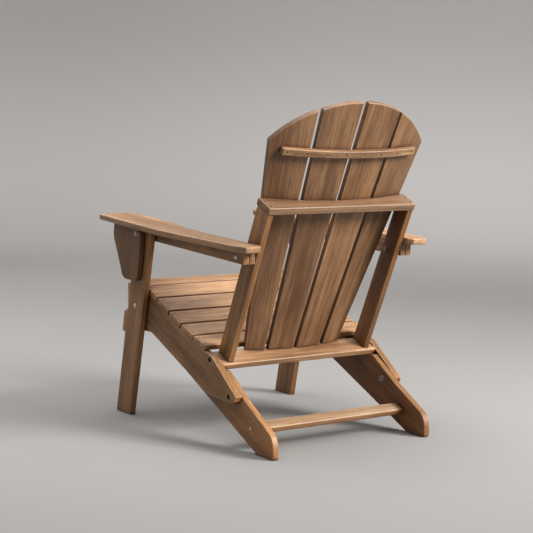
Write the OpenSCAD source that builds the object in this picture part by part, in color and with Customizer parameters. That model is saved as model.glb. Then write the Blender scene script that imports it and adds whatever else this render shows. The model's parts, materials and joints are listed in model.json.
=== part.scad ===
// Wooden garden armchair with a reclined slatted back, in millimetres.
// +Z up, the chair faces -Y, x = 0 is its plane of symmetry.

/* [Boards] */
// Thickness of the side boards (rails, legs, uprights)
board_t = 20; // [19:0.5:20]
// Thickness of the seat slats
slat_t = 17; // [15:0.5:18]
// Thickness of the back slats
back_t = 17; // [14:0.5:18]
// Thickness of the arm boards
arm_t = 19; // [16:0.5:22]

/* [Overall] */
// Half the width of the seat, to the outer face of the seat rails
seat_half = 298; // [290:1:310]
// Lean of the back from the vertical, in degrees
back_lean = 25.8; // [24:0.1:27]
// Fall of the arms towards the back, in degrees
arm_fall = 3.75; // [2:0.05:5]
// Distance that the whole chair is moved along Y to centre it
centre_y = -3.1; // [-40:0.01:40]

/* [Seat] */
// Width of the five main seat slats
seat_slat_w = 66; // [60:0.5:68]
// Depth of the seat screw heads below the slats' top faces
sink = 1.2; // [0.6:0.1:2]

/* [Back] */
// Radius of the concave curve of the back, seen from above
back_r = 1050; // [900:10:1150]
// Radius of the rounded top of the back
crown_r = 338; // [320:1:345]
// Height of the top of the back along its lean
crown_top = 1093; // [1060:1:1120]
// Gap between the back slats
back_gap = 11.5; // [8:0.5:13]

/* [Hardware] */
// Radius of the bolt shanks
bolt_r = 4; // [3:0.5:5]
// Running clearance of the bolts in their holes
bolt_clear = 0.05; // [0.02:0.01:0.1]
// Radius of the wood screw shanks
screw_r = 2; // [1.5:0.25:2.5]
// Radius of the wood screw heads
screw_head_r = 3.6; // [3:0.1:4.5]

/* [Hidden] */
$fn = 48;

rail_in = seat_half - board_t;
leg_in = seat_half + 2;
leg_out = leg_in + board_t;
low_in = rail_in - board_t;
up_out = low_in - 2;
up_in = up_out - board_t;

// Points in the side view are [y, z]; u runs up the back and v out of its rear face.
su = sin(back_lean);
cu = cos(back_lean);
function uv(v, u) = [u * su + v * cu, u * cu - v * su];

// Centre of the top face of each seat slat, its tilt (rising to the front) and its width.
main_w = seat_slat_w;
seat_slats = [
    [-345.5, 431, -11.5, 41],
    [-290.8, 430, 12, 55],
    [-221.5, 408.3, 21.4, main_w + 9],
    [-146.5, 375.9, 25.2, main_w + 7],
    [-73.5, 343.4, 22.7, main_w + 6],
    [-0.5, 314.9, 20, main_w + 5],
    [73.2, 290.2, 17, main_w + 5]
];

// A point of a slat's section: a along its width to the rear, b below its top face.
function on_slat(s, a, b) = [
    s[0] + a * cos(s[2]) - b * sin(s[2]),
    s[1] - a * sin(s[2]) - b * cos(s[2])
];

// Bolts that run along X, as [y, z].
leg_bolt = [-291, 356];
arm_front_bolt = [-227, 590];
arm_rear_bolt = [277, 552];
back_bolt = [133, 241];
rear_leg_bolt = [237, 148];
stretcher_c = [319, 68.5];
stretcher_head_r = 6;
leg_screw_pts = [[60, 205], [-15, 235]];

function arc(c, r, a0, a1, n) = [for (i = [0:n]) let (a = a0 + (a1 - a0) * i / n)
    [c[0] + r * cos(a), c[1] + r * sin(a)]];

// Underside of the arms at a given y
arm_o = [327, 588];
function arm_under(y) = arm_o[1] + (arm_o[0] - y) * tan(arm_fall) - arm_t / cos(arm_fall);

// ---- helpers ----

module place() {
    translate([0, centre_y, 0]) children();
}

// A board in the side view, from x0 to x1
module side_board(x0, x1, pts) {
    translate([x0, 0, 0]) rotate([90, 0, 90]) linear_extrude(x1 - x0) polygon(pts);
}

// The same on both sides of the chair
module both() {
    children();
    mirror([1, 0, 0]) children();
}

module on_side(s) {
    if (s > 0) children();
    else mirror([1, 0, 0]) children();
}

// A round bar along X from x0 to x1 at a side view point
module bar_x(p, r, x0, x1, f = 48) {
    translate([x0, p[0], p[1]]) rotate([0, 90, 0]) cylinder(h = x1 - x0, r = r, $fn = f);
}

// The back's own frame: local y is v, local z is u
module back_frame() {
    rotate([-back_lean, 0, 0]) children();
}

// The arm's own frame: origin on its top face, local y along its length
module arm_frame() {
    translate([0, arm_o[0], arm_o[1]]) rotate([-arm_fall, 0, 0]) children();
}

// A seat slat's own frame: origin at the centre of its top face
module slat_frame(s) {
    translate([0, s[0], s[1]]) rotate([-s[2], 0, 0]) children();
}

// A wood screw along -Z from its head at z = 0
module screw(len, grow = 0) {
    translate([0, 0, -len]) cylinder(h = len, r = screw_r + grow);
    translate([0, 0, -2.4]) cylinder(h = 2.4, r = screw_head_r + grow);
}

// The hole that a screw sits in, open above its head
module screw_hole(len, open = 20) {
    translate([0, 0, -len - 0.1]) cylinder(h = len, r = screw_r + bolt_clear);
    translate([0, 0, -2.45]) cylinder(h = open, r = screw_head_r + bolt_clear);
}

// ---- seat frame ----

rail_top = [for (i = [2:6]) each [
    on_slat(seat_slats[i], -seat_slats[i][3] / 2, slat_t),
    on_slat(seat_slats[i], seat_slats[i][3] / 2, slat_t)]];
rail_nose = [
    on_slat(seat_slats[0], -20.4, slat_t),
    on_slat(seat_slats[0], seat_slats[0][3] / 2, slat_t),
    on_slat(seat_slats[1], -seat_slats[1][3] / 2, slat_t),
    on_slat(seat_slats[1], seat_slats[1][3] / 2, slat_t)
];
nose_y = rail_nose[0][0];

module seat_rail_shape() {
    side_board(rail_in, seat_half, concat(
        [[nose_y, 352]], rail_nose, rail_top,
        [[142, 254], [277, 153], [272, 139]],
        arc([256, 141], 10, -35, -95, 4),
        [[114, 141], [-223, 279], [-328, 279]],
        [[-334, 341]]));
}

// Where the screws of a slat go: across the slat and along its ends
module at_seat_screws(i) {
    s = seat_slats[i];
    slat_frame(s) for (x = [-1, 1], a = [-1, 1])
        translate([x * (seat_half - 10), a * s[3] * 0.28, -sink]) children();
}

module seat_rail(s) {
    color([0.42, 0.27, 0.15]) place() on_side(s) difference() {
        seat_rail_shape();
        bar_x(leg_bolt, bolt_r + bolt_clear, rail_in - 1, seat_half + 1);
        bar_x(rear_leg_bolt, bolt_r + bolt_clear, rail_in - 1, seat_half + 1);
        bar_x(rear_leg_bolt, 8.5, seat_half - 7, seat_half + 1);
        bar_x(back_bolt, bolt_r + bolt_clear, rail_in - 1, seat_half + 1);
        bar_x(back_bolt, 8.5, seat_half - 7, seat_half + 1);
        for (i = [0:6]) at_seat_screws(i) screw_hole(34, 1);
        for (p = leg_screw_pts) bar_x(p, screw_r + bolt_clear, rail_in - 1, rail_in + 14);
        apron_screw_pos() screw_hole(36, 1);
    }
}

module rear_leg(s) {
    color([0.45, 0.29, 0.16]) place() on_side(s) difference() {
        side_board(low_in, rail_in - 0.1, concat(
            [[357, 0], [-46, 183], [-18, 262], uv(-12, 265.6), uv(57, 265.6)],
            [[186, 214], [298, 140], [369, 101]],
            arc([383, 30.2], 55, 61, 0, 10),
            arc([430, 8], 8, 0, -90, 3)));
        bar_x(rear_leg_bolt, bolt_r + bolt_clear, low_in - 1, rail_in + 1);
        bar_x(stretcher_c, screw_r + bolt_clear, low_in - 1, rail_in + 1);
        bar_x(stretcher_c, stretcher_head_r + 0.2, rail_in - 1.6, rail_in + 1);
        for (p = leg_screw_pts) {
            bar_x(p, screw_r + bolt_clear, low_in - 1, rail_in + 1);
            bar_x(p, screw_head_r + bolt_clear, low_in - 1, low_in + 3.4);
        }
    }
}

// The front leg, 0.253 mm back for each mm up
leg_k = 0.253;
function leg_y(z, side) = -380.5 + leg_k * z + side * 48.5;

module front_leg_shape() {
    side_board(leg_in, leg_out, [
        [leg_y(0, -1), 0], [leg_y(0, 1), 0],
        [leg_y(arm_under(-180), 1), arm_under(-180)],
        [leg_y(arm_under(-180), 1) - 97, arm_under(-277)]]);
}

module front_leg(s) {
    color([0.44, 0.28, 0.15]) place() on_side(s) difference() {
        front_leg_shape();
        arm_frame() translate([0, -700, -arm_t]) cube([400, 800, 60]);
        bar_x(leg_bolt, bolt_r + bolt_clear, leg_in - 1, leg_out + 1);
        bar_x(arm_front_bolt, bolt_r + bolt_clear, leg_in - 1, leg_out + 1);
        crossbar_screw_pos() screw_hole(40, 1);
        for (p = corbel_screw_pts) {
            bar_x(p, screw_r + bolt_clear, leg_in - 1, leg_out + 1);
            bar_x(p, screw_head_r + bolt_clear, leg_in - 1, leg_in + 3.4);
        }
    }
}

// The crossbar lies on the front edges of both front legs
crossbar_w = 72;
crossbar_t = 20;
leg_lean = atan(leg_k);

module crossbar_frame() {
    translate([0, leg_y(299, -1), 299]) rotate([-leg_lean, 0, 0]) children();
}

module crossbar_screw_pos() {
    crossbar_frame() for (x = [-1, 1], a = [-1, 1])
        translate([x * (leg_in + 10), -crossbar_t + 0.6, a * 20]) rotate([90, 0, 0]) children();
}

module front_crossbar() {
    color([0.5, 0.33, 0.19]) place() difference() {
        crossbar_frame() translate([-leg_out, -crossbar_t, -crossbar_w / 2])
            cube([2 * leg_out, crossbar_t, crossbar_w]);
        crossbar_screw_pos() screw_hole(40);
    }
}

// The apron closes the front of the seat
apron_t = 18;
apron_z = [356, 421];

module apron_screw_pos() {
    for (x = [-1, 1], z = [374, 400])
        translate([x * (seat_half - 10), nose_y - apron_t + 0.6, z]) rotate([90, 0, 0]) children();
}

module seat_apron() {
    color([0.55, 0.37, 0.22]) place() difference() {
        side_board(-seat_half, seat_half, concat(
            [[nose_y - 0.1, apron_z[0]], [nose_y - 0.1, apron_z[1] + 1]],
            arc([nose_y - 10, apron_z[1] - 7], 8, 80, 180, 6),
            [[nose_y - apron_t, apron_z[0]]]));
        apron_screw_pos() screw_hole(36);
    }
}

module seat_slat(i) {
    s = seat_slats[i];
    color([0.62, 0.43, 0.27]) place() difference() {
        slat_frame(s) translate([-seat_half, -s[3] / 2, -slat_t])
            cube([2 * seat_half, s[3], slat_t]);
        at_seat_screws(i) screw_hole(34);
        if (i == 0) translate([-400, nose_y - 40, 380]) cube([800, 40, 80]);
    }
}

// The stretcher between the rear legs lies parallel to their slope
stretcher_w = 38;
stretcher_t = 19;
stretcher_tilt = 24.4;

module rear_stretcher() {
    color([0.58, 0.4, 0.24]) place() difference() {
        translate([0, stretcher_c[0], stretcher_c[1]]) rotate([-stretcher_tilt, 0, 0])
            translate([0.1 - low_in, -stretcher_w / 2, -stretcher_t / 2])
                cube([2 * low_in - 0.2, stretcher_w, stretcher_t]);
        both() bar_x(stretcher_c, screw_r + bolt_clear, low_in - 34, low_in + 1);
    }
}

// ---- back ----

// Rear face of the flat slats: v at a given x, from their centres and turns
slat_x = [-165, -60, 60, 165];
function rear_v(x) = 11 - x * x / (2 * back_r);
function turn(x) = x / back_r * 180 / PI;
// v of the rear face of the slat plane i at x
function plane_v(i, x) = rear_v(slat_x[i]) - (x - slat_x[i]) * tan(turn(slat_x[i]));
// The polyline of the rear faces, from -x to +x
function back_line(hw, off) = [
    [-hw, plane_v(0, -hw) + off], [-130, plane_v(1, -130) + off], [0, plane_v(1, 0) + off],
    [130, plane_v(2, 130) + off], [hw, plane_v(3, hw) + off]];

low_u = [266, 284.2];
mid_u = [769.5, 791];
bat_u = [929.5, 951.5];
up_v = [-12, 49];
batten_v = 30;

module lower_back_board() {
    color([0.57, 0.39, 0.23]) place() difference() {
        back_frame() translate([0.4 - rail_in, -12, low_u[0]])
            cube([2 * rail_in - 0.8, 71, low_u[1] - low_u[0]]);
        both() bar_x(back_bolt, bolt_r + bolt_clear, rail_in - 52, rail_in + 1);
        upright_screw_pos() screw_hole(46);
    }
}

// Screws up through the lower board into the ends of the uprights
module upright_screw_pos() {
    back_frame() for (x = [-1, 1], v = [2, 32])
        translate([x * (up_in + up_out) / 2, v, low_u[0] + 0.6]) rotate([180, 0, 0]) children();
}

// Screws down through the middle board into the tops of the uprights
module board_screw_pos() {
    back_frame() for (x = [-1, 1], v = [8, 38])
        translate([x * (up_in + up_out) / 2, v, mid_u[1] - 0.6]) children();
}

module upright(s) {
    color([0.46, 0.3, 0.17]) place() on_side(s) difference() {
        back_frame() translate([up_in, up_v[0], low_u[1] + 0.1])
            cube([board_t, up_v[1] - up_v[0], mid_u[0] - low_u[1] - 0.2]);
        bar_x(arm_rear_bolt, bolt_r + bolt_clear, up_in - 1, up_out + 1);
        upright_screw_pos() screw_hole(46, 1);
        board_screw_pos() screw_hole(46, 1);
    }
}

module middle_back_board() {
    hw = up_out + 1;
    color([0.55, 0.37, 0.22]) place() difference() {
        back_frame() translate([0, 0, mid_u[0]]) linear_extrude(mid_u[1] - mid_u[0])
            polygon(concat([[hw, 52], [-hw, 52]], back_line(hw, 0.1)));
        board_screw_pos() screw_hole(46);
    }
}

// Outline of one back slat in x and u: inner and outer edge at the foot and far above
slat_foot = low_u[1] + 0.1;
slat_far = 1125;
function side_gap_x(u) = 99.5 + 0.051 * (u - 290);
function inner_x(k, u) = k == 1 ? 5.5 + 0.0035 * (u - 290) : side_gap_x(u) + back_gap / 2;
function outer_x(k, u) = k == 1 ? side_gap_x(u) - back_gap / 2 : 170 + 0.147 * (u - 290);

module back_slat(i) {
    k = (i == 1 || i == 2) ? 1 : 0;
    sgn = i < 2 ? -1 : 1;
    c = slat_x[i];
    color([0.53, 0.36, 0.22]) place() back_frame() difference() {
        intersection() {
            translate([c, rear_v(c), 0]) rotate([0, 0, -turn(c)])
                translate([-c, 0, 0]) rotate([90, 0, 0]) linear_extrude(back_t)
                    polygon([
                        [sgn * inner_x(k, slat_foot), slat_foot],
                        [sgn * outer_x(k, slat_foot), slat_foot],
                        [sgn * outer_x(k, slat_far), slat_far],
                        [sgn * inner_x(k, slat_far), slat_far]]);
            crown();
        }
        batten_screw_pos() screw_hole(28, 1);
    }
}

// The back's rounded top: a circle over a block that leaves the slats' sides free
module crown() {
    translate([0, 60, crown_top - crown_r]) rotate([90, 0, 0])
        cylinder(h = 120, r = crown_r, $fn = 180);
    translate([-crown_r, -60, 0]) cube([2 * crown_r, 120, crown_top - crown_r + 1]);
}

module batten_screw_pos() {
    for (x = [-217, -157, -93, -31, 31, 93, 157, 217])
        translate([x, batten_v - x * x / (2 * back_r) - 1.1, (bat_u[0] + bat_u[1]) / 2]) rotate([-90, 0, turn(-x)]) children();
}

module top_batten() {
    hw = 231;
    color([0.52, 0.34, 0.2]) place() back_frame() difference() {
        intersection() {
            translate([0, 0, bat_u[0]]) linear_extrude(bat_u[1] - bat_u[0])
                polygon(concat([[hw, 60], [-hw, 60]], back_line(hw, 0.1)));
            translate([0, batten_v - back_r, bat_u[0] - 1]) cylinder(h = 40, r = back_r, $fn = 360);
        }
        batten_screw_pos() screw_hole(28);
    }
}

// ---- arms ----

// Inner and outer edge of the arms at their front ends
arm_x = [222, 352];

module arm(s) {
    color([0.6, 0.42, 0.27]) place() on_side(s) arm_frame() difference() {
        translate([0, 0, -arm_t]) linear_extrude(arm_t) polygon(concat(
            arc([arm_x[0] + 46, -762], 46, 180, 270, 10),
            arc([arm_x[1] - 12, -796], 12, -90, 0, 5),
            [[arm_x[1] + 15, -385], [331, 0], [319, 39], [270, 39]],
            [[up_out + 2, 22], [up_out + 2, -100], [264, -265], [257, -400]],
            [[236, -505], [230, -620]]));
        arm_screw_pos() screw_hole(46, 1);
    }
}

// Screws up through the laminated rail into the arm on top of it
arm_screw_y = [-90, -280, -480];
module arm_screw_pos() {
    for (y = arm_screw_y)
        translate([rail_in + 10, y, 0.9 - arm_t - arm_rail_d]) rotate([180, 0, 0]) children();
}

arm_rail_d = 38;
module arm_rail(x0, s) {
    color([0.47, 0.31, 0.18]) place() on_side(s) difference() {
        arm_frame() translate([x0, 0, 0]) rotate([90, 0, 90]) linear_extrude(board_t - 0.1)
            polygon([
                [-5, -arm_t - 0.1], [-5, -arm_t - arm_rail_d], [-626, -arm_t - arm_rail_d],
                [-650, -arm_t - 12], [-650, -arm_t - 0.1]]);
        bar_x(arm_rear_bolt, bolt_r + bolt_clear, low_in - 1, seat_half + 1);
        bar_x(arm_front_bolt, bolt_r + bolt_clear, low_in - 1, seat_half + 1);
        if (x0 > low_in) arm_frame() arm_screw_pos() screw_hole(46);
    }
}

// Screws from the inner face of the leg into the corbel
corbel_screw_pts = [[-292, 495], [-262, 540]];
module corbel(s) {
    color([0.4, 0.26, 0.14]) place() on_side(s) difference() {
        side_board(leg_out + 0.1, leg_out + board_t, concat(
            [[-387, 640], [-397, 580], [-393, 562], [-372, 521], [-347, 468]],
            arc([-316, 472], 31, 200, 262, 5),
            arc([-262, 462], 23, -90, -10, 5),
            [[-221, 540], [-214, 640]]));
        arm_frame() translate([0, -900, -arm_t]) cube([400, 1000, 80]);
        bar_x(arm_front_bolt, bolt_r + bolt_clear, leg_out - 1, leg_out + board_t + 1);
        for (p = corbel_screw_pts) bar_x(p, screw_r + bolt_clear, leg_out - 1, leg_out + 13);
    }
}

// ---- hardware ----

// A domed bolt head whose flat side is at x0, rising along dir
module dome(p, x0, dir, r = 9, h = 4) {
    rr = (r * r + h * h) / (2 * h);
    intersection() {
        translate([x0 - dir * (rr - h), p[0], p[1]]) rotate([0, 90, 0]) sphere(r = rr, $fn = 64);
        bar_x(p, r + 1, dir > 0 ? x0 : x0 - h - 1, dir > 0 ? x0 + h + 1 : x0);
    }
}

module hex_nut(p, x0, x1, r = 7.4) {
    difference() {
        bar_x(p, r, x0, x1, 6);
        bar_x(p, bolt_r + bolt_clear, x0 - 1, x1 + 1);
    }
}

module washer(p, x0, x1, r = 10) {
    difference() {
        bar_x(p, r, x0, x1);
        bar_x(p, bolt_r + bolt_clear, x0 - 1, x1 + 1);
    }
}

module leg_bolts() {
    color("silver") place() both() {
        bar_x(leg_bolt, bolt_r, rail_in - 9, leg_out);
        dome(leg_bolt, leg_out, 1, 8, 3.5);
    }
}
module leg_nuts() {
    color("silver") place() both() hex_nut(leg_bolt, rail_in - 7, rail_in - 0.1);
}
module leg_washers() {
    color("silver") place() both() washer(leg_bolt, seat_half + 0.1, leg_in - 0.1);
}
module arm_front_bolts() {
    color("silver") place() both() {
        bar_x(arm_front_bolt, bolt_r, low_in, leg_out + board_t + 11);
        dome(arm_front_bolt, low_in, -1);
    }
}
module arm_front_nuts() {
    color("silver") place() both() {
        hex_nut(arm_front_bolt, leg_out + board_t + 1.6, leg_out + board_t + 8);
        washer(arm_front_bolt, leg_out + board_t + 0.1, leg_out + board_t + 1.5, 9);
        washer(arm_front_bolt, seat_half + 0.1, leg_in - 0.1);
    }
}
module arm_rear_bolts() {
    color("silver") place() both() {
        bar_x(arm_rear_bolt, bolt_r, up_in - 9, seat_half);
        dome(arm_rear_bolt, seat_half, 1, 8, 3.5);
    }
}
module arm_rear_nuts() {
    color("silver") place() both() hex_nut(arm_rear_bolt, up_in - 7, up_in - 0.1);
}
module arm_washers() {
    color("silver") place() both() washer(arm_rear_bolt, up_out + 0.1, low_in - 0.1);
}
module back_bolts() {
    color([0.25, 0.25, 0.26]) place() both() {
        bar_x(back_bolt, bolt_r, rail_in - 50, seat_half - 7);
        bar_x(back_bolt, 7, seat_half - 7, seat_half - 2.5);
    }
}
module rear_leg_bolts() {
    color([0.25, 0.25, 0.26]) place() both() {
        bar_x(rear_leg_bolt, bolt_r, low_in - 8, seat_half - 7);
        bar_x(rear_leg_bolt, 7, seat_half - 7, seat_half - 2.5);
    }
}
module rear_leg_nuts() {
    color("silver") place() both() {
        hex_nut(rear_leg_bolt, low_in - 8, low_in - 1.5);
        washer(rear_leg_bolt, low_in - 1.4, low_in - 0.1, 9);
    }
}
module stretcher_screws() {
    color("silver") place() both() {
        bar_x(stretcher_c, screw_r, low_in - 33, rail_in - 1.6);
        dome(stretcher_c, rail_in - 1.6, 1, stretcher_head_r, 2.2);
    }
}
module seat_screws() {
    color([0.3, 0.28, 0.26]) place() for (i = [0:6]) at_seat_screws(i) screw(34);
}
module apron_screws() {
    color([0.3, 0.28, 0.26]) place() apron_screw_pos() screw(36);
}
module crossbar_screws() {
    color([0.3, 0.28, 0.26]) place() crossbar_screw_pos() screw(40);
}
module batten_screws() {
    color([0.3, 0.28, 0.26]) place() back_frame() batten_screw_pos() screw(28);
}
module board_screws() {
    color([0.3, 0.28, 0.26]) place() board_screw_pos() screw(46);
}
module upright_screws() {
    color([0.3, 0.28, 0.26]) place() upright_screw_pos() screw(46);
}
module arm_screws() {
    color([0.3, 0.28, 0.26]) place() both() arm_frame() arm_screw_pos() screw(46);
}
module corbel_screws() {
    color([0.3, 0.28, 0.26]) place() both() for (p = corbel_screw_pts) {
        bar_x(p, screw_r, leg_in + 3.3, leg_out + 12.5);
        bar_x(p, screw_head_r, leg_in + 0.8, leg_in + 3.3);
    }
}
module rear_leg_screws() {
    color([0.3, 0.28, 0.26]) place() both() for (p = leg_screw_pts) {
        bar_x(p, screw_r, low_in + 3.3, rail_in + 13);
        bar_x(p, screw_head_r, low_in + 0.8, low_in + 3.3);
    }
}

seat_rail(1);  // seat_rail_left
seat_rail(-1);  // seat_rail_right
rear_leg(1);  // rear_leg_left
rear_leg(-1);  // rear_leg_right
front_leg(1);  // front_leg_left
front_leg(-1);  // front_leg_right
front_crossbar();
seat_apron();
seat_slat(0);  // seat_slat_1
seat_slat(1);  // seat_slat_2
seat_slat(2);  // seat_slat_3
seat_slat(3);  // seat_slat_4
seat_slat(4);  // seat_slat_5
seat_slat(5);  // seat_slat_6
seat_slat(6);  // seat_slat_7
rear_stretcher();
lower_back_board();
upright(1);  // upright_left
upright(-1);  // upright_right
middle_back_board();
back_slat(3);  // back_slat_1
back_slat(2);  // back_slat_2
back_slat(1);  // back_slat_3
back_slat(0);  // back_slat_4
top_batten();
arm(1);  // arm_left
arm(-1);  // arm_right
arm_rail(rail_in, 1);  // arm_rail_outer_left
arm_rail(rail_in, -1);  // arm_rail_outer_right
arm_rail(low_in, 1);  // arm_rail_inner_left
arm_rail(low_in, -1);  // arm_rail_inner_right
corbel(1);  // corbel_left
corbel(-1);  // corbel_right
leg_bolts();
leg_nuts();
leg_washers();
arm_front_bolts();
arm_front_nuts();
arm_rear_bolts();
arm_rear_nuts();
arm_washers();
back_bolts();
rear_leg_bolts();
rear_leg_nuts();
stretcher_screws();
seat_screws();
apron_screws();
crossbar_screws();
batten_screws();
board_screws();
upright_screws();
arm_screws();
corbel_screws();
rear_leg_screws();
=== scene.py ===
"""Looks of the wooden adirondack chair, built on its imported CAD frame. Metres, +Z up, the chair faces -Y."""

import json
import math

import bmesh
import bpy
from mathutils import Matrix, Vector


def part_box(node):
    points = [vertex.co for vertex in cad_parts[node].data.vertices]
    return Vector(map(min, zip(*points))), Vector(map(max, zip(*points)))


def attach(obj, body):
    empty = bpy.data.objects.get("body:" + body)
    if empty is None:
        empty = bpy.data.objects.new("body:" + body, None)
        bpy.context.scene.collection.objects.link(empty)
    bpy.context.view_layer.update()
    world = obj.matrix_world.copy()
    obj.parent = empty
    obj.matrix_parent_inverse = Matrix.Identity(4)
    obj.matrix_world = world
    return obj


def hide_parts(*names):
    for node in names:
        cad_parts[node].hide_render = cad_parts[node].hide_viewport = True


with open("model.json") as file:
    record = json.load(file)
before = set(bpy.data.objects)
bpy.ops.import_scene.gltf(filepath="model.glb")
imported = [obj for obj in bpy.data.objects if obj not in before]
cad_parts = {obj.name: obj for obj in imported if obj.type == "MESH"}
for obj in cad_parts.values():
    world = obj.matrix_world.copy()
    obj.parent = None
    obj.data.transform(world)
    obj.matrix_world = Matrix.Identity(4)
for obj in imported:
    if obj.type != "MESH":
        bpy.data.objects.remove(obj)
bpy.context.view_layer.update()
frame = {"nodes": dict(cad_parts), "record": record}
NODES = frame["nodes"]
SLOT_OF = {part["node"]: part["material_slot"] for part in frame["record"]["subparts"]}

# ---- directions of the grain ----


def downhill(degrees):
    """The direction towards the back of the chair that falls at an angle from the level."""
    slope = math.radians(degrees)
    return Vector((0, math.cos(slope), -math.sin(slope)))


BACK_LEAN = math.radians(25.8)
ALONG_X = Vector((1, 0, 0))
UP_BACK = Vector((0, math.sin(BACK_LEAN), math.cos(BACK_LEAN)))
UP_FRONT_LEG = Vector((0, 0.245, 0.97)).normalized()

# The start of a node's name, and the way its grain runs; every other board's grain runs along X
GRAIN_WAYS = (
    ("seat_rail", downhill(22)),
    ("rear_leg", downhill(25)),
    ("front_leg", UP_FRONT_LEG),
    ("upright", UP_BACK),
    ("arm_", downhill(3.75)),
    ("corbel", UP_FRONT_LEG),
)
GRAIN_SPLAY = 0.012
SLAT_LEAN = {"1": 1.6, "2": 0.5, "3": -0.5, "4": -1.6}
FAN = 0.055


def grain_of(node):
    """The direction that a board's grain runs in."""
    side = 1 if node.endswith("_left") else -1
    if node.startswith("back_slat_"):
        return (UP_BACK + ALONG_X * SLAT_LEAN[node[-1]] * FAN).normalized()
    for start, way in GRAIN_WAYS:
        if node.startswith(start):
            return (way + ALONG_X * GRAIN_SPLAY * side).normalized()
    return ALONG_X


# ---- node helpers ----

# How far a rounded normal agrees with the flat one: away from an edge, and on it
EDGE_FLAT, EDGE_ROUND = 1.0, 0.86
NODE_SAMPLES = 4


class Tree:
    """A material's node tree, with short calls for the nodes used here."""

    def __init__(self, name):
        self.material = bpy.data.materials.new(name)
        self.material.use_nodes = True
        self.nodes = self.material.node_tree.nodes
        self.links = self.material.node_tree.links
        self.shader = self.nodes["Principled BSDF"]

    def put(self, value, socket):
        if isinstance(value, bpy.types.NodeSocket):
            self.links.new(value, socket)
        elif value is not None:
            socket.default_value = value

    def where(self):
        return self.nodes.new("ShaderNodeTexCoord").outputs["Object"]

    def maths(self, how, a, b=None):
        n = self.nodes.new("ShaderNodeMath")
        n.operation = how
        self.put(a, n.inputs[0])
        self.put(b, n.inputs[1])
        return n.outputs[0]

    def add(self, first, *others):
        for other in others:
            first = self.maths("ADD", first, other)
        return first

    def times(self, a, b):
        return self.maths("MULTIPLY", a, b)

    def vector(self, how, a, b=None):
        n = self.nodes.new("ShaderNodeVectorMath")
        n.operation = how
        self.put(a, n.inputs[0])
        self.put(b, n.inputs[1])
        return n.outputs["Value" if how in ("DOT_PRODUCT", "LENGTH") else "Vector"]

    def join(self, x, y, z):
        n = self.nodes.new("ShaderNodeCombineXYZ")
        for value, socket in zip((x, y, z), n.inputs):
            self.put(value, socket)
        return n.outputs[0]

    def noise(self, where, scale=1.0, detail=2.0, rough=0.5, distortion=0.0):
        n = self.nodes.new("ShaderNodeTexNoise")
        self.put(where, n.inputs["Vector"])
        n.inputs["Scale"].default_value = scale
        n.inputs["Detail"].default_value = detail
        n.inputs["Roughness"].default_value = rough
        n.inputs["Distortion"].default_value = distortion
        return n.outputs["Fac"]

    def span(self, value, low, high, to_low=0.0, to_high=1.0):
        """A smooth step from to_low at low to to_high at high."""
        n = self.nodes.new("ShaderNodeMapRange")
        n.interpolation_type = "SMOOTHSTEP"
        for v, socket in zip((value, low, high, to_low, to_high), n.inputs):
            self.put(v, socket)
        return n.outputs[0]

    def mix(self, fac, a, b, how="MIX"):
        n = self.nodes.new("ShaderNodeMix")
        n.data_type = "RGBA"
        n.blend_type = how
        n.clamp_factor = True
        self.put(fac, n.inputs["Factor"])
        for value, name in ((a, "A"), (b, "B")):
            socket = [s for s in n.inputs if s.name == name and s.type == "RGBA"][0]
            if isinstance(value, (tuple, list)):
                value = (*value[:3], 1.0)
            self.put(value, socket)
        return [s for s in n.outputs if s.type == "RGBA"][0]

    def bump(self, height, strength, distance):
        n = self.nodes.new("ShaderNodeBump")
        n.inputs["Strength"].default_value = strength
        n.inputs["Distance"].default_value = distance
        self.put(height, n.inputs["Height"])
        return n.outputs[0]

    def edge(self, radius):
        """1 at sharp edges of the shape, 0 on its flats."""
        n = self.nodes.new("ShaderNodeBevel")
        n.samples = NODE_SAMPLES
        n.inputs["Radius"].default_value = radius
        g = self.nodes.new("ShaderNodeNewGeometry")
        flat = self.vector("DOT_PRODUCT", n.outputs[0], g.outputs["Normal"])
        return self.span(flat, EDGE_FLAT, EDGE_ROUND)

    def openness(self, distance):
        """1 in the open, 0 where other surfaces close in within the distance."""
        n = self.nodes.new("ShaderNodeAmbientOcclusion")
        n.samples = NODE_SAMPLES
        n.inputs["Distance"].default_value = distance
        return n.outputs["AO"]


# ---- wood ----

# The dark and the light tone of each slot's wood; the kinds differ partly as the wood does and partly as
# painted light and shade, the seat slats lighter for the light falling on them and the back and rail boards
# darker for the shade on them.
TONES = {
    "slat_wood": ((0.236, 0.116, 0.0470), (0.550, 0.316, 0.156)),
    "back_wood": ((0.106, 0.0470, 0.0165), (0.288, 0.153, 0.0695)),
    "arm_wood": ((0.182, 0.0900, 0.0375), (0.410, 0.232, 0.119)),
    "rail_wood": ((0.134, 0.0565, 0.0160), (0.376, 0.183, 0.0665)),
}

# How much lighter or darker, and how much warmer, some boards are painted than the rest of their kind: partly
# the boards' own tone, partly painted light and shade (the right upright, right rear leg and left corbel
# darkened as painted shade, the back boards lightened as painted light and the right arm as a painted
# highlight).
# These and TONES were set by comparing patches of the render with the photograph.
BOARD_TONE_AND_PAINTED_LIGHT = {
    "upright_right": (0.62, 0.54, 0.34),
    "corbel_left": (0.54, 0.46, 0.32),
    "rear_leg_right": (0.66, 0.59, 0.46),
    "middle_back_board": (1.10, 1.18, 1.34),
    "top_batten": (1.70, 1.82, 1.98),
    "lower_back_board": (1.50, 1.66, 1.90),
    "rear_stretcher": (0.84, 0.93, 1.10),
    "arm_right": (1.20, 1.22, 1.24),
    "arm_left": (0.97, 0.93, 0.84),
}
GAIN_SWING = 0.14

PORE_TONE = (0.045, 0.022, 0.010)
SHADE_TINT = (0.66, 0.42, 0.20)
# edges lightened partly by wear and partly as a painted highlight where rounded edges catch the light
WEAR_AND_HIGHLIGHT_TONE = (0.560, 0.400, 0.270)
GREY_TONE = (0.125, 0.082, 0.055)
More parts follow.
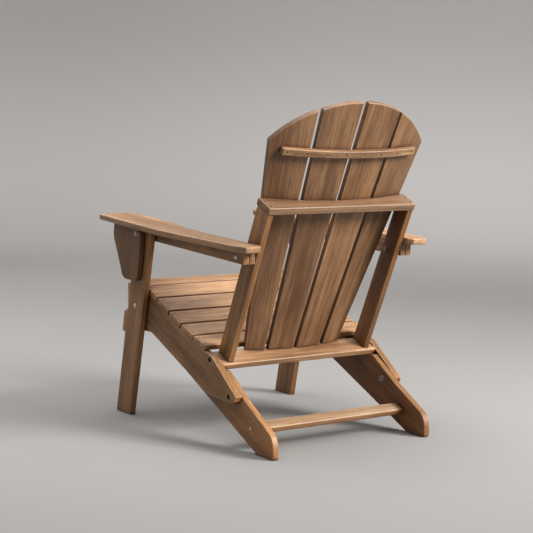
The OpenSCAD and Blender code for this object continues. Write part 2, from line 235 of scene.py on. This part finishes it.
# the last share is the tone of the painted shade in crevices
RING_DARK, FINE_DARK, CREVICE_SHADE_DARK = 0.60, 0.50, 0.28

# Noise patterns: cycles per metre along and across the board, detail, roughness and distortion
PATTERNS = {
    "wander": (1.3, 3.5, 2.0, 0.50, 0.0),
    "ripple": (7.0, 26.0, 2.0, 0.50, 0.0),
    "broad": (1.3, 22.0, 3.0, 0.60, 0.4),
    "streak": (4.0, 120.0, 4.0, 0.62, 0.2),
    "fine": (9.0, 290.0, 5.0, 0.68, 0.0),
    "blotch": (2.4, 9.0, 4.0, 0.60, 0.0),
    "pore": (26.0, 800.0, 1.0, 0.50, 0.0),
    "weather": (1.5, 11.0, 3.0, 0.60, 0.0),
    "wear_and_highlight": (9.0, 30.0, 3.0, 0.50, 0.0),
}
STREAK_SHARE, BROAD_SHARE, BLOTCH_SHARE = 0.27, 0.35, 0.38

RING_STEP = 0.0085
PITH_DRIFT, PITH_WOBBLE = 0.075, 0.007
# radius of the edge mask: edges lighter partly from wear and partly as a painted highlight, and glossier
WEAR_AND_HIGHLIGHT_RADIUS = 0.0045
# how far the painted shade in crevices and the broad warm painted shade reach
CREVICE_SHADE_REACH, SHADE_REACH = 0.020, 0.30
WOOD_BUMP = 0.00040


def make_wood(name, grain, slot, seed):
    """Oiled hardwood: growth rings round a far pith, streaks, short pores, edges lightened partly by wear and
    partly as a painted highlight, painted shade in crevices and a warm painted shade where surfaces close in.
    """
    t = Tree(name)
    level = Vector((0, 0, 1)) if abs(grain.z) < 0.8 else ALONG_X
    across = grain.cross(level).normalized()
    over = grain.cross(across).normalized()
    shift = Vector((math.sin(seed * 12.9) * 3, math.sin(seed * 4.7) * 2, math.cos(seed * 7.3) * 2))

    where = t.where()
    along_m = t.add(t.vector("DOT_PRODUCT", where, grain[:]), shift.x)
    across_m = t.vector("DOT_PRODUCT", where, across[:])
    over_m = t.vector("DOT_PRODUCT", where, over[:])
    place = t.vector("ADD", t.join(along_m, across_m, over_m), (0, shift.y, shift.z))

    def pattern(kind):
        length, width, detail, rough, distortion = PATTERNS[kind]
        stretched = t.vector("MULTIPLY", place, (length, width, width))
        return t.noise(stretched, 1.0, detail, rough, distortion)

    # rings: the distance from a pith line that wanders a little along the board
    drift = t.times(t.maths("SUBTRACT", pattern("wander"), 0.5), PITH_DRIFT)
    wobble = t.times(t.maths("SUBTRACT", pattern("ripple"), 0.5), PITH_WOBBLE)
    pith_a = 0.05 + 0.05 * math.sin(seed * 3.1)
    pith_b = 0.07 + 0.03 * math.cos(seed * 5.3)
    ring_a = t.add(across_m, pith_a - middle(name, across), drift)
    ring_b = t.add(over_m, pith_b - middle(name, over), wobble)
    radius = t.vector("LENGTH", t.join(0.0, ring_a, ring_b))
    ring = t.span(t.maths("SINE", t.times(radius, 2 * math.pi / RING_STEP)), -0.55, 1.0)

    streak = pattern("streak")
    fine = pattern("fine")
    pore = t.span(pattern("pore"), 0.60, 0.72)
    edge = t.edge(WEAR_AND_HIGHLIGHT_RADIUS)

    gain = 1.0 + GAIN_SWING * math.sin(seed * 2.3)
    # some boards' own tone together with painted light and shade on them
    tone_and_painted_light = BOARD_TONE_AND_PAINTED_LIGHT.get(name, (1.0, 1.0, 1.0))
    dark, light = (tuple(c * gain * k for c, k in zip(tone, tone_and_painted_light)) for tone in TONES[slot])

    def darker(share):
        return tuple(c * share for c in dark)

    tone = t.add(
        t.times(t.span(streak, 0.32, 0.68), STREAK_SHARE),
        t.times(t.span(pattern("broad"), 0.34, 0.66), BROAD_SHARE),
        t.times(t.span(pattern("blotch"), 0.34, 0.66), BLOTCH_SHARE))
    colour = t.mix(t.span(tone, 0.06, 0.92), dark, light)
    colour = t.mix(t.span(pattern("weather"), 0.50, 0.76, 0.0, 0.42), colour, GREY_TONE)
    colour = t.mix(t.times(ring, 0.12), colour, darker(RING_DARK))
    colour = t.mix(t.times(t.span(fine, 0.40, 0.68), 0.46), colour, darker(FINE_DARK))
    colour = t.mix(t.times(pore, 0.60), colour, PORE_TONE)
    # edges lightened, partly wear and partly a painted highlight where the rounded edges catch the light
    wear_and_highlight = t.times(edge, t.span(pattern("wear_and_highlight"), 0.30, 0.70, 0.30, 0.80))
    colour = t.mix(wear_and_highlight, colour, WEAR_AND_HIGHLIGHT_TONE)
    # painted shade: darker where other surfaces close in within a couple of centimetres, in crevices and
    # between parts
    colour = t.mix(t.span(t.openness(CREVICE_SHADE_REACH), 0.2, 0.85, 0.75, 0.0), colour, darker(CREVICE_SHADE_DARK))
    shade = t.span(t.openness(SHADE_REACH), 0.15, 0.68, 1.0, 0.0)
    colour = t.mix(shade, colour, SHADE_TINT, "MULTIPLY")
    t.put(colour, t.shader.inputs["Base Color"])

    gloss = t.add(0.40, t.times(streak, 0.18), t.times(pore, 0.20))
    gloss = t.maths("SUBTRACT", gloss, t.times(edge, 0.12))
    t.put(gloss, t.shader.inputs["Roughness"])
    t.shader.inputs["Specular IOR Level"].default_value = 0.42
    height = t.maths("SUBTRACT", t.times(streak, 0.6), t.times(pore, 0.8))
    height = t.add(height, t.times(fine, 0.45))
    height = t.maths("SUBTRACT", height, t.times(ring, 0.25))
    t.put(t.bump(height, 0.60, WOOD_BUMP), t.shader.inputs["Normal"])
    return t.material


def middle(node, way):
    """Where the middle of a node's box lies along a direction."""
    low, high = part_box(node)
    return ((low + high) / 2).dot(way)


# ---- metal ----

# Colour and lowest roughness of each finish
ZINC = (0.62, 0.61, 0.59), 0.28
DARK_STEEL = (0.11, 0.10, 0.095), 0.45
BLACKENED = (0.035, 0.032, 0.030), 0.5
SUNK_BOLTS = ("back_bolts", "rear_leg_bolts")

DULL_TONE, EDGE_TONE = 0.72, 1.25
PATCH_SCALE = 180.0
SCRATCH_SCALE = (300, 2600, 900)
METAL_EDGE = 0.0006
METAL_BUMP = 0.00006


def make_metal(name, tone, rough, seed):
    """Plated or dark steel: fine scratches, dull patches and brighter edges."""
    t = Tree(name)
    where = t.where()
    patch = t.noise(where, scale=PATCH_SCALE + seed, detail=3.0)
    scratch = t.noise(t.vector("MULTIPLY", where, SCRATCH_SCALE), detail=2.0)
    colour = t.mix(t.span(patch, 0.35, 0.7), tuple(c * DULL_TONE for c in tone), tone)
    bright = tuple(min(1, c * EDGE_TONE) for c in tone)
    colour = t.mix(t.times(t.edge(METAL_EDGE), 0.5), colour, bright)
    t.put(colour, t.shader.inputs["Base Color"])
    t.shader.inputs["Metallic"].default_value = 1.0
    t.put(t.span(scratch, 0.3, 0.8, rough, rough + 0.18), t.shader.inputs["Roughness"])
    t.put(t.bump(scratch, 0.35, METAL_BUMP), t.shader.inputs["Normal"])
    return t.material


# ---- boards ----

EDGE_RADIUS = {"slat_wood": 0.0034, "back_wood": 0.0030, "arm_wood": 0.0045, "rail_wood": 0.0034}
SHORTEST_EDGE = 0.0026
FACET_ANGLE = math.radians(30)
FLAT_ANGLE = math.radians(0.6)
CREASE_ANGLE = math.radians(35)
MERGE_DISTANCE = 1e-5


def rounded_board(node, radius):
    """A copy of a board with its outer edges rounded over; the rims of its holes stay crisp."""
    mesh = NODES[node].data.copy()
    mesh.name = "shape_" + node
    bm = bmesh.new()
    bm.from_mesh(mesh)
    bmesh.ops.remove_doubles(bm, verts=bm.verts, dist=MERGE_DISTANCE)
    bmesh.ops.dissolve_limit(bm, angle_limit=FLAT_ANGLE, verts=bm.verts, edges=bm.edges)
    sharp = [e for e in bm.edges if len(e.link_faces) == 2 and e.calc_face_angle(0) > FACET_ANGLE
             and e.calc_length() > SHORTEST_EDGE]
    bmesh.ops.bevel(bm, geom=sharp, offset=radius, offset_type="OFFSET", segments=3, profile=0.5,
                    affect="EDGES", clamp_overlap=True)
    bm.to_mesh(mesh)
    bm.free()
    for face in mesh.polygons:
        face.use_smooth = True
    mesh.set_sharp_from_angle(angle=CREASE_ANGLE)
    piece = bpy.data.objects.new("board_" + node, mesh)
    bpy.context.collection.objects.link(piece)
    weights = piece.modifiers.new("weighted", "WEIGHTED_NORMAL")
    weights.keep_sharp = True
    mesh.materials.clear()
    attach(piece, "root")
    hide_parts(node)
    return piece


def dress(node, number):
    """Gives a node its looks: a rounded wooden copy for a board, a better material for metal."""
    slot = SLOT_OF[node]
    if slot in TONES:
        piece = rounded_board(node, EDGE_RADIUS[slot])
        piece.data.materials.append(make_wood(node, grain_of(node), slot, number + 1))
        return
    tone, rough = ZINC if slot == "bolt_steel" else DARK_STEEL
    if node in SUNK_BOLTS:
        tone, rough = BLACKENED
    material = make_metal("metal_" + node, tone, rough, number)
    for place in NODES[node].material_slots:
        place.material = material


for number, node in enumerate(sorted(NODES)):
    dress(node, number)

# ---- floor, camera and lights ----

FLOOR_RADIUS = 6.0
COVE_RADIUS = 3.0
COVE_STEPS = 12
WALL_TOP = 7.0
FLOOR_SIDES = 96

# Directions in the chair's frame: level across the photograph's view, level towards its camera, and up
ACROSS_VIEW = (-0.836, 0.548, 0.0)
TOWARDS_CAMERA = (0.548, 0.836, 0.0)
UPWARDS = (0.0, 0.0, 1.0)

PAPER = (0.236, 0.228, 0.221), (0.248, 0.240, 0.233)
# the wall's tones, the lighter one towards one side as a painted fall of light across the wall
WALL_TONE_AND_PAINTED_FALL = (0.62, 0.602, 0.586), (0.86, 0.836, 0.815)
# painted shade: the wall darker towards its top
HIGH_WALL_PAINTED_SHADE = (0.75, 0.75, 0.75)
# painted shade: the floor darker towards the camera's side
NEAR_FLOOR_PAINTED_SHADE = (0.85, 0.85, 0.85)


def floor_mesh():
    """A round floor whose edge sweeps up into a wall."""
    profile = [(2.0, 0.0), (FLOOR_RADIUS, 0.0)]
    for step in range(1, COVE_STEPS + 1):
        a = math.radians(90 * step / COVE_STEPS)
        profile.append((FLOOR_RADIUS + COVE_RADIUS * math.sin(a), COVE_RADIUS * (1 - math.cos(a))))
    profile.append((FLOOR_RADIUS + COVE_RADIUS, WALL_TOP))
    turns = [2 * math.pi * k / FLOOR_SIDES for k in range(FLOOR_SIDES)]
    verts = [(0.0, 0.0, 0.0)]
    for r, z in profile:
        verts += [(r * math.cos(turn), r * math.sin(turn), z) for turn in turns]
    faces = [(0, 1 + k, 1 + (k + 1) % FLOOR_SIDES) for k in range(FLOOR_SIDES)]
    for ring in range(len(profile) - 1):
        a, b = 1 + ring * FLOOR_SIDES, 1 + (ring + 1) * FLOOR_SIDES
        for k in range(FLOOR_SIDES):
            m = (k + 1) % FLOOR_SIDES
            faces.append((a + k, b + k, b + m, a + m))
    mesh = bpy.data.meshes.new("floor")
    mesh.from_pydata(verts, [], faces)
    for face in mesh.polygons:
        face.use_smooth = True
    return mesh


def make_floor():
    """Studio paper in a fixed pattern of slow changes of tone, with painted light and shade set to suit the
    photograph's backdrop: the wall painted lighter than the floor, lighter towards one side and darker towards
    its top, and the floor darker towards the camera's side as painted shade.
    """
    mesh = floor_mesh()
    floor = bpy.data.objects.new("floor", mesh)
    bpy.context.collection.objects.link(floor)
    t = Tree("floor_paper")
    where = t.where()
    paper = t.mix(t.noise(where, scale=0.8, detail=2.0), *PAPER)
    # painted fall of light across the wall
    wall = t.mix(t.span(t.vector("DOT_PRODUCT", where, ACROSS_VIEW), -2.5, 2.5), *WALL_TONE_AND_PAINTED_FALL)
    height = t.span(t.vector("DOT_PRODUCT", where, UPWARDS), 0.3, 2.2)
    # painted shade towards the top of the wall
    wall = t.mix(height, wall, HIGH_WALL_PAINTED_SHADE, "MULTIPLY")
    # painted shade on the floor towards the camera's side
    near_painted_shade = t.span(t.vector("DOT_PRODUCT", where, TOWARDS_CAMERA), 0.4, 1.6)
    paper = t.mix(near_painted_shade, paper, NEAR_FLOOR_PAINTED_SHADE, "MULTIPLY")
    # the wall's paint, lighter than the floor's, takes over further out: painted light on the wall
    far = t.span(t.vector("LENGTH", where), 3.0, 9.0)
    t.put(t.mix(far, paper, wall), t.shader.inputs["Base Color"])
    t.shader.inputs["Roughness"].default_value = 0.8
    t.shader.inputs["Specular IOR Level"].default_value = 0.1
    mesh.materials.append(t.material)


CAMERA_AZIMUTH, CAMERA_ELEVATION = math.radians(146.907), math.radians(5.387)
CAMERA_PLACE = (2.2369, 3.4082, 0.8724)
CAMERA_LENS_MM, CAMERA_SENSOR_MM = 89.4, 36.0


def make_camera():
    """The photograph's viewpoint: behind the chair at the sitter's left, a little above the arms."""
    back = Vector((math.sin(CAMERA_AZIMUTH) * math.cos(CAMERA_ELEVATION),
                   -math.cos(CAMERA_AZIMUTH) * math.cos(CAMERA_ELEVATION),
                   math.sin(CAMERA_ELEVATION)))
    data = bpy.data.cameras.new("camera")
    data.lens = CAMERA_LENS_MM
    data.sensor_width = CAMERA_SENSOR_MM
    camera = bpy.data.objects.new("camera", data)
    camera.location = CAMERA_PLACE
    camera.rotation_euler = back.to_track_quat("Z", "Y").to_euler()
    bpy.context.collection.objects.link(camera)
    bpy.context.scene.camera = camera


WHITE = (1, 1, 1)
WARM_WHITE = (1.0, 0.98, 0.955)
ALL_ROUND = math.pi

# Name, place, the point it faces, side length, watts, colour and spread
LIGHTS = (
    ("key", (-2.5, 3.9, 3.0), (0, 0, 0.4), 1.9, 212, WARM_WHITE, math.radians(110)),
    ("fill", (0.6, -3.6, 2.8), (0, 0, 0.4), 2.4, 85, WHITE, ALL_ROUND),
    ("top", (0.0, 0.0, 4.2), (0, 0, 0.3), 3.0, 60, WHITE, ALL_ROUND),
    ("sky", (0.0, 0.0, 6.6), (0, 0, 0.0), 11.0, 560, WHITE, ALL_ROUND),
)


def soft_light(name, place, target, size, watts, tone, spread):
    data = bpy.data.lights.new(name, "AREA")
    data.shape = "RECTANGLE"
    data.size = data.size_y = size
    data.energy = watts
    data.spread = spread
    data.color = tone
    lamp = bpy.data.objects.new(name, data)
    lamp.location = place
    lamp.rotation_euler = (Vector(place) - Vector(target)).to_track_quat("Z", "Y").to_euler()
    bpy.context.collection.objects.link(lamp)


def make_world():
    world = bpy.data.worlds.new("studio")
    world.use_nodes = True
    background = world.node_tree.nodes["Background"]
    background.inputs["Color"].default_value = (1.0, 0.99, 0.98, 1)
    background.inputs["Strength"].default_value = 0.1
    bpy.context.scene.world = world


make_floor()
make_camera()
make_world()
for light in LIGHTS:
    soft_light(*light)
bpy.context.scene.view_settings.view_transform = "Standard"
